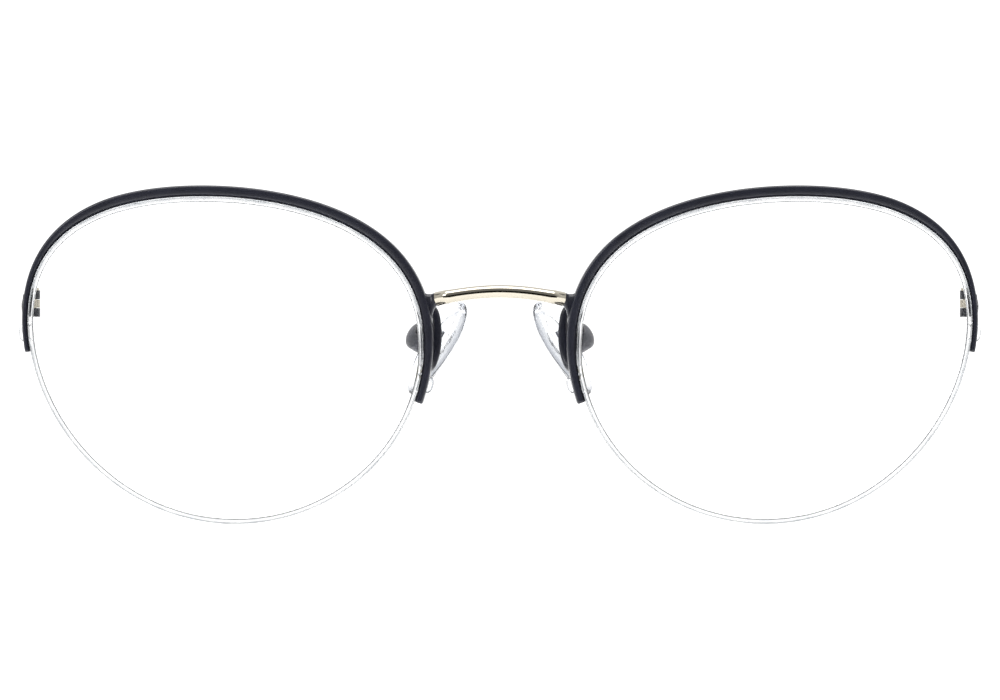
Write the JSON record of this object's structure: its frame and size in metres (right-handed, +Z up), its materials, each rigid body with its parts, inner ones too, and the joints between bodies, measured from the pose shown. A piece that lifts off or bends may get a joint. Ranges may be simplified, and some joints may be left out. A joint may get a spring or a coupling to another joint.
{
  "type": "half rim eyeglasses",
  "caption": "Half rim eyeglasses with a dark metal brow rim, nylon-held clear lenses, a pale gold bridge, rocking nose pads and folding temples.",
  "frame": {"origin": "centre of the plan view, on the surface that the lens bottoms and temple tips stand on", "axes": "+X across the front, +Y from the lenses back along the temples, +Z up; the lenses face -Y; left and right are as seen from in front"},
  "size_m": [0.1442, 0.1412, 0.0459],
  "materials": {
    "navy_enamel": "satin baked enamel over metal",
    "grey_enamel": "matt baked enamel over metal",
    "pale_gold": "polished pale gold plating",
    "pad_metal": "stamped steel insert",
    "clear_lens": "optically clear, polished, coated",
    "nylon": "clear drawn nylon",
    "clear_pad": "clear soft moulding",
    "clear_acetate": "clear polished acetate"
  },
  "bodies": {
    "front": {"bridge": "pale_gold", "left_endpiece": "navy_enamel", "left_groove_liner": "nylon", "left_hinge_front": "navy_enamel", "left_hinge_screw": "pale_gold", "left_lens": "clear_lens", "left_nylon_cord": "nylon", "left_pad_arm": "navy_enamel", "left_pad_box": "grey_enamel", "left_pad_screw": "pale_gold", "left_rim": "navy_enamel", "right_endpiece": "navy_enamel", "right_groove_liner": "nylon", "right_hinge_front": "navy_enamel", "right_hinge_screw": "pale_gold", "right_lens": "clear_lens", "right_nylon_cord": "nylon", "right_pad_arm": "navy_enamel", "right_pad_box": "grey_enamel", "right_pad_screw": "pale_gold", "right_rim": "navy_enamel"},
    "temple_right": {"right_hinge_temple": "pale_gold", "right_temple": "pale_gold", "right_temple_tip": "clear_acetate"},
    "temple_left": {"left_hinge_temple": "pale_gold", "left_temple": "pale_gold", "left_temple_tip": "clear_acetate"},
    "pad_right": {"right_pad_core": "pad_metal", "right_nose_pad": "clear_pad"},
    "pad_left": {"left_pad_core": "pad_metal", "left_nose_pad": "clear_pad"}
  },
  "joints": [
    {"name": "right_temple_fold", "type": "hinge", "parent": "front", "child": "temple_right", "pos_m": [0.06365, -0.05472, 0.0299], "axis": [0, 0, 1], "range_deg": [0, 93]},
    {"name": "left_temple_fold", "type": "hinge", "parent": "front", "child": "temple_left", "pos_m": [-0.06365, -0.05472, 0.0299], "axis": [0, 0, -1], "range_deg": [0, 87]},
    {"name": "right_pad_rock", "type": "hinge", "parent": "front", "child": "pad_right", "pos_m": [0.01075, -0.06152, 0.0251], "axis": [0.4024, 0.8829, 0.2418], "range_deg": [-6, 6]},
    {"name": "left_pad_rock", "type": "hinge", "parent": "front", "child": "pad_left", "pos_m": [-0.01075, -0.06152, 0.0251], "axis": [0.4024, -0.8829, -0.2418], "range_deg": [-6, 6]}
  ]
}
